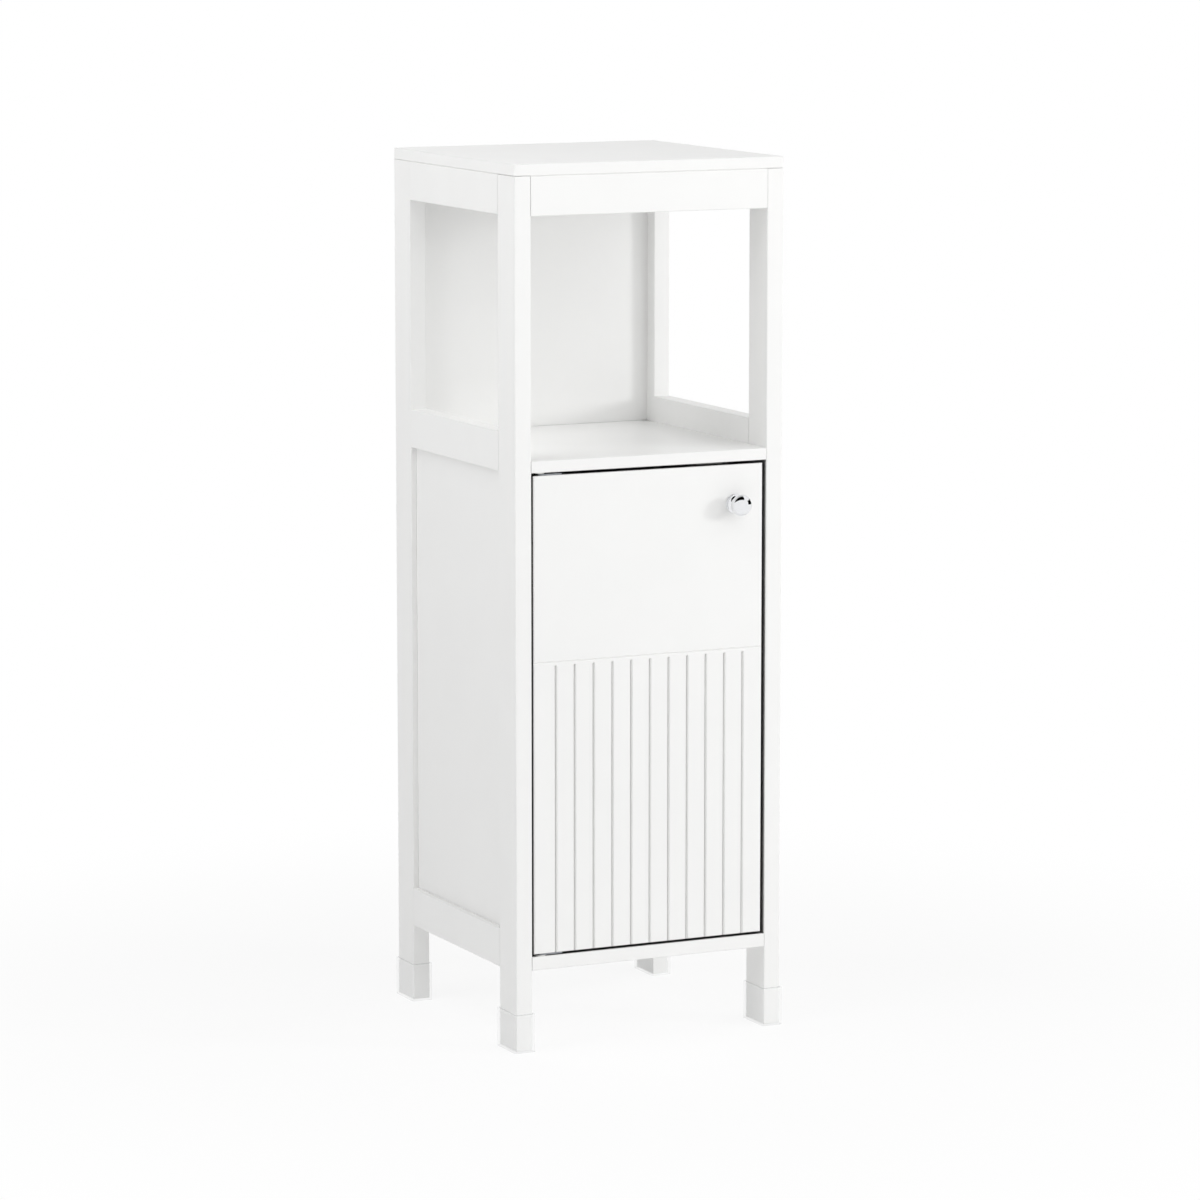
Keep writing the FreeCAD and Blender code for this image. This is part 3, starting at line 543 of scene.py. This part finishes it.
studio = {
    "white": "#FFFFFF", "skyLight": 0.15,
    "floorSize": 40.0, "floorColour": "#F4F4F4", "floorWhite": 0.86, "floorGlow": 0.41,
    "fadeFrom": 0.35, "fadeTo": 1.1,
    "softboxes": {
        "keySoftbox": {"angle": 51, "rise": 12, "distance": 3.2, "wide": 0.55, "tall": 0.55, "power": 21},
        "wideSoftbox": {"angle": 22, "rise": 32, "distance": 3.6, "wide": 5.0, "tall": 4.0, "power": 83},
        "rightSoftbox": {"angle": 95, "rise": 27, "distance": 3.2, "wide": 2.0, "tall": 2.0, "power": 20},
        "leftSoftbox": {"angle": -84, "rise": 55, "distance": 2.0, "wide": 1.6, "tall": 1.6, "power": 18},
        "lowSoftbox": {"angle": -84, "rise": 15, "distance": 2.5, "wide": 1.6, "tall": 1.2, "power": 10},
        "backSoftbox": {"angle": 165, "rise": 20, "distance": 3.2, "wide": 2.0, "tall": 1.6, "power": 10},
    },
    "flags": {
        "overheadFlag": ((1.4, -2.55, 1.5), (0.06, 2.0, 1.5), (-3.6, 2.0, 1.5), (-3.6, 0.0, 1.5)),
        "sideFlag": ((2.2, -1.75, -0.08), (2.2, 1.6, -0.08), (2.2, 1.6, 0.89), (2.2, -1.75, 0.89)),
    },
}


# a direction: angle from straight in front of the door towards the right, rise above the horizon
def wayTo(angle, rise):
    turn, lift = math.radians(angle), math.radians(rise)
    return Vector((math.sin(turn) * math.cos(lift), -math.cos(turn) * math.cos(lift), math.sin(lift)))


# 1 for the rays that show the background: to the camera, off mirrors and through clear plastic
def seenRays(tree):
    path = addNode(tree, "LightPath").outputs
    seen = addNode(tree, "Math", {"operation": "MAXIMUM"}, i0=path["Is Camera Ray"], i1=path["Is Glossy Ray"])
    seen = addNode(tree, "Math", {"operation": "MAXIMUM"}, i0=seen.outputs[0], i1=path["Is Transmission Ray"])
    return seen.outputs[0]


# white where it is seen, plain soft light to everything else
def paintWorld(look):
    world = bpy.data.worlds.new("studioSky")
    bpy.context.scene.world = world
    world.use_nodes = True
    tree = world.node_tree
    tree.nodes.clear()
    lit = addNode(tree, "Background", Color=hexToLinear(look["white"]), Strength=look["skyLight"])
    white = addNode(tree, "Background", Color=hexToLinear(look["white"]), Strength=1.0)
    both = addNode(tree, "MixShader", i0=seenRays(tree), i1=lit.outputs[0], i2=white.outputs[0])
    addNode(tree, "OutputWorld", Surface=both.outputs[0])


# a pale sweep, lit from below a little, that stays close to white and keeps the shadow under the cabinet
def layFloor(look):
    bpy.ops.object.select_all(action="DESELECT")
    bpy.ops.mesh.primitive_plane_add(size=look["floorSize"], location=(0, 0, 0))
    floor = bpy.context.object
    floor.name = "floor"
    material, tree = newMaterial("paleFloor")
    place = addNode(tree, "TexCoord").outputs["Object"]
    away = addNode(tree, "VectorMath", {"operation": "LENGTH"}, i0=place)
    whiter = addNode(
        tree, "MapRange", {"interpolation_type": "SMOOTHSTEP"}, Value=away.outputs["Value"],
        From_Min=look["fadeFrom"], From_Max=look["fadeTo"], To_Min=look["floorWhite"], To_Max=1.0,
    )
    share = addNode(tree, "Math", {"operation": "MULTIPLY"}, i0=seenRays(tree), i1=whiter.outputs["Result"])
    share = addNode(tree, "Math", {"operation": "MAXIMUM"}, i0=share.outputs[0], i1=look["floorGlow"])
    matt = addNode(tree, "BsdfDiffuse", Color=hexToLinear(look["floorColour"]))
    white = addNode(tree, "Emission", Color=hexToLinear(look["white"]), Strength=1.0)
    both = addNode(tree, "MixShader", i0=share.outputs[0], i1=matt.outputs[0], i2=white.outputs[0])
    finishMaterial(tree, both)
    floor.data.materials.append(material)


def hangSoftbox(name, look, target):
    away = wayTo(look["angle"], look["rise"])
    bpy.ops.object.light_add(type="AREA", location=target + away * look["distance"])
    lamp = bpy.context.object
    lamp.name = name
    lamp.data.shape = "RECTANGLE"
    lamp.data.size = look["wide"]
    lamp.data.size_y = look["tall"]
    lamp.data.energy = look["power"]
    lamp.rotation_euler = away.to_track_quat("Z", "Y").to_euler()
    lamp.visible_glossy = False  # mirrors show the even white room instead


# a black cloth that only mirrors see, for the dark bands in the chrome, its corners in metres from the knob
def hangFlag(name, corners, target):
    bpy.ops.object.select_all(action="DESELECT")
    bpy.ops.mesh.primitive_circle_add(vertices=len(corners), fill_type="NGON", location=target)
    flag = bpy.context.object
    flag.name = name
    for vertex, corner in zip(flag.data.vertices, corners):
        vertex.co = corner
    material, tree = newMaterial("blackCloth")
    finishMaterial(tree, addNode(tree, "Emission", Strength=0.0))
    flag.data.materials.append(material)
    flag.visible_camera = False
    flag.visible_diffuse = False
    flag.visible_transmission = False
    flag.visible_shadow = False


paintWorld(studio)
layFloor(studio)
middle = (cadBox[0] + cadBox[1]) / 2
for name, look in studio["softboxes"].items():
    hangSoftbox(name, look, middle)
knobLow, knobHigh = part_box("knob")
for name, corners in studio["flags"].items():
    hangFlag(name, corners, (knobLow + knobHigh) / 2)
print("studio set")


# a long lens from the front left, a little above the middle
shot = {
    "azimuth": -25.56, "elevation": 8.60, "distance": 5.2948, "aimRight": 0.01418, "aimUp": -0.01497,
    "lens": 152.82, "sensor": 36.0, "farEnd": 100.0,
}


def setCamera(look):
    back = wayTo(look["azimuth"], look["elevation"])
    right = Vector((0, 0, 1)).cross(back).normalized()
    up = back.cross(right)
    topLow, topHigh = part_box("top_panel")
    aim = Vector(((topLow.x + topHigh.x) / 2, (topLow.y + topHigh.y) / 2, topHigh.z / 2))
    aim += right * look["aimRight"] + up * look["aimUp"]
    bpy.ops.object.camera_add(location=aim + back * look["distance"])
    camera = bpy.context.object
    camera.name = "photoCamera"
    camera.rotation_euler = back.to_track_quat("Z", "Y").to_euler()
    camera.data.lens = look["lens"]
    camera.data.sensor_width = look["sensor"]
    camera.data.clip_end = look["farEnd"]
    bpy.context.scene.camera = camera


setCamera(shot)
bpy.context.scene.view_settings.view_transform = "Standard"
print("camera set")
